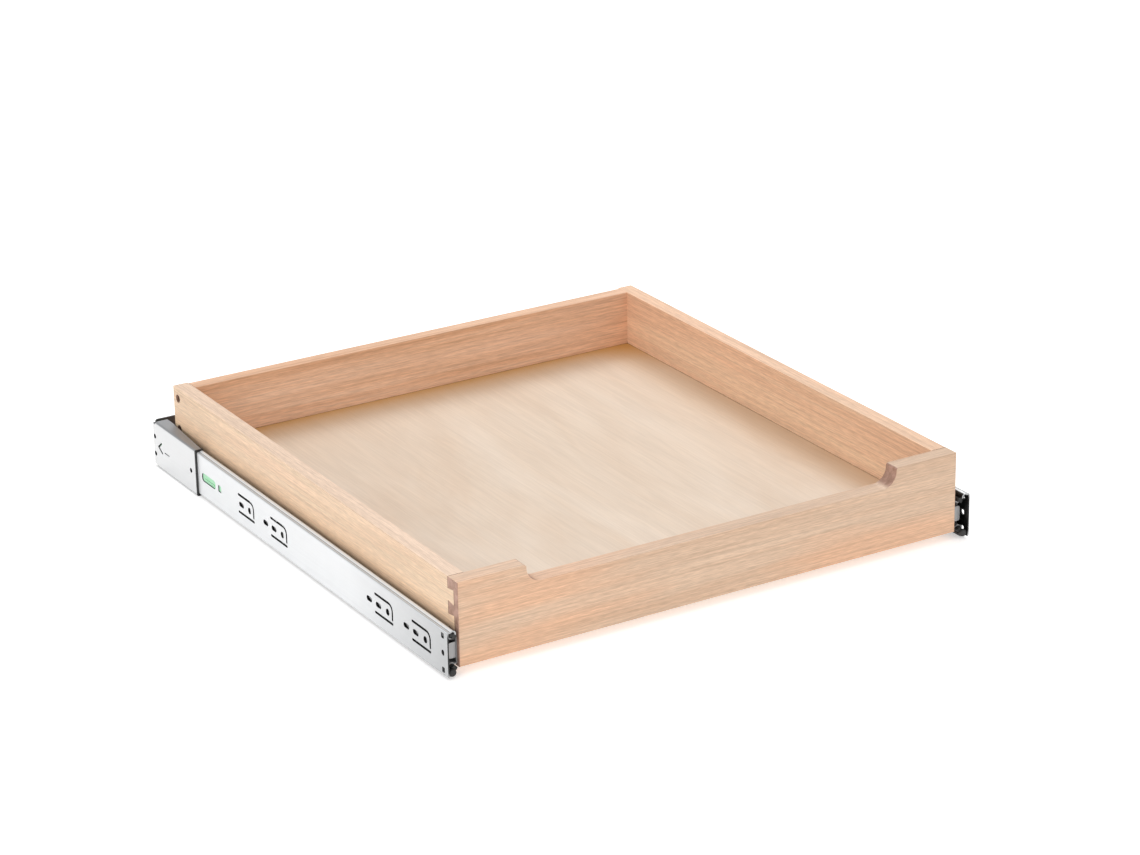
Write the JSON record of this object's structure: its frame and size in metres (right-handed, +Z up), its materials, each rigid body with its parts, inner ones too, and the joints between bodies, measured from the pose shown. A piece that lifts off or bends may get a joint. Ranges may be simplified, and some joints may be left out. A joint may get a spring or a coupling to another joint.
{
  "type": "roll-out drawer tray with slides",
  "caption": "Shallow dovetailed wooden tray with a scooped front on a pair of full-extension soft-close ball-bearing side slides with rear brackets.",
  "frame": {"origin": "middle of the assembly's outline in plan, level with its lowest edge, tray closed", "axes": "+Z up, the tray's front faces -Y, +X to the right seen from the front"},
  "size_m": [0.5294, 0.5536, 0.0826],
  "materials": {
    "side_wood": "clear satin lacquer, beech",
    "front_wood": "clear satin lacquer, beech",
    "back_wood": "clear satin lacquer, beech",
    "panel_ply": "satin birch plywood",
    "black_screw": "black oxide",
    "zinc_steel": "bright zinc plate",
    "retainer_steel": "zinc plate",
    "ball_steel": "polished",
    "black_rubber": "matte",
    "zinc_screw": "zinc plate",
    "black_plastic": "moulded",
    "green_plastic": "translucent moulded",
    "grey_plastic": "moulded",
    "damper_steel": "ground",
    "spring_steel": "drawn wire",
    "bracket_steel": "zinc plate"
  },
  "bodies": {
    "cabinet_side": {"cabinet_member_left": "zinc_steel", "rear_bracket_left": "bracket_steel", "bracket_liner_left": "black_plastic", "soft_close_housing_left": "green_plastic", "damper_cylinder_left": "damper_steel", "closing_springs_left": "spring_steel", "cabinet_member_right": "zinc_steel", "rear_bracket_right": "bracket_steel", "bracket_liner_right": "black_plastic", "soft_close_housing_right": "green_plastic", "damper_cylinder_right": "damper_steel", "closing_springs_right": "spring_steel"},
    "drawer": {"side_left": "side_wood", "side_right": "side_wood", "front_board": "front_wood", "back_board": "back_wood", "bottom_panel": "panel_ply", "back_joint_screws": "black_screw", "drawer_member_left": "zinc_steel", "drawer_member_screws_left": "zinc_screw", "striker_pin_left": "zinc_screw", "lever_rivet_left": "zinc_screw", "drawer_member_right": "zinc_steel", "drawer_member_screws_right": "zinc_screw", "striker_pin_right": "zinc_screw", "lever_rivet_right": "zinc_screw"},
    "intermediate_left": {"intermediate_member_left": "zinc_steel", "slide_bumpers_left": "black_rubber"},
    "outer_cage_left": {"outer_ball_retainer_left": "retainer_steel", "outer_balls_left": "ball_steel"},
    "inner_cage_left": {"inner_ball_retainer_left": "retainer_steel", "inner_balls_left": "ball_steel"},
    "lever_left": {"release_lever_left": "black_plastic"},
    "carriage_left": {"soft_close_carriage_left": "grey_plastic", "damper_rod_left": "damper_steel"},
    "intermediate_right": {"intermediate_member_right": "zinc_steel", "slide_bumpers_right": "black_rubber"},
    "outer_cage_right": {"outer_ball_retainer_right": "retainer_steel", "outer_balls_right": "ball_steel"},
    "inner_cage_right": {"inner_ball_retainer_right": "retainer_steel", "inner_balls_right": "ball_steel"},
    "lever_right": {"release_lever_right": "black_plastic"},
    "carriage_right": {"soft_close_carriage_right": "grey_plastic", "damper_rod_right": "damper_steel"}
  },
  "joints": [
    {"name": "drawer_slide", "type": "slide", "parent": "cabinet_side", "child": "drawer", "axis": [0, -1, 0], "range_m": [0, 0.5334]},
    {"name": "intermediate_slide_left", "type": "slide", "parent": "cabinet_side", "child": "intermediate_left", "axis": [0, -1, 0], "range_m": [0, 0.2668]},
    {"name": "outer_cage_slide_left", "type": "slide", "parent": "cabinet_side", "child": "outer_cage_left", "axis": [0, -1, 0], "range_m": [0, 0.13345]},
    {"name": "inner_cage_slide_left", "type": "slide", "parent": "cabinet_side", "child": "inner_cage_left", "axis": [0, -1, 0], "range_m": [0, 0.40015]},
    {"name": "release_lever_left", "type": "hinge", "parent": "drawer", "child": "lever_left", "pos_m": [-0.2551, 0.05815, 0.0226], "axis": [1, 0, 0], "range_deg": [0, 4], "stiffness_Nm_per_rad": 0.05},
    {"name": "soft_close_left", "type": "slide", "parent": "cabinet_side", "child": "carriage_left", "axis": [0, -1, 0], "range_m": [0, 0.045], "stiffness_N_per_m": 200, "deforming": ["closing_springs_left"]},
    {"name": "intermediate_slide_right", "type": "slide", "parent": "cabinet_side", "child": "intermediate_right", "axis": [0, -1, 0], "range_m": [0, 0.2668]},
    {"name": "outer_cage_slide_right", "type": "slide", "parent": "cabinet_side", "child": "outer_cage_right", "axis": [0, -1, 0], "range_m": [0, 0.13345]},
    {"name": "inner_cage_slide_right", "type": "slide", "parent": "cabinet_side", "child": "inner_cage_right", "axis": [0, -1, 0], "range_m": [0, 0.40015]},
    {"name": "release_lever_right", "type": "hinge", "parent": "drawer", "child": "lever_right", "pos_m": [0.2551, 0.05815, 0.0226], "axis": [-1, 0, 0], "range_deg": [0, 4], "stiffness_Nm_per_rad": 0.05},
    {"name": "soft_close_right", "type": "slide", "parent": "cabinet_side", "child": "carriage_right", "axis": [0, -1, 0], "range_m": [0, 0.045], "stiffness_N_per_m": 200, "deforming": ["closing_springs_right"]}
  ],
  "couplings": [
    {"joint": "intermediate_slide_left", "follows": "drawer_slide", "ratio": 0.5},
    {"joint": "outer_cage_slide_left", "follows": "drawer_slide", "ratio": 0.25},
    {"joint": "inner_cage_slide_left", "follows": "drawer_slide", "ratio": 0.75},
    {"joint": "intermediate_slide_right", "follows": "drawer_slide", "ratio": 0.5},
    {"joint": "outer_cage_slide_right", "follows": "drawer_slide", "ratio": 0.25},
    {"joint": "inner_cage_slide_right", "follows": "drawer_slide", "ratio": 0.75}
  ]
}
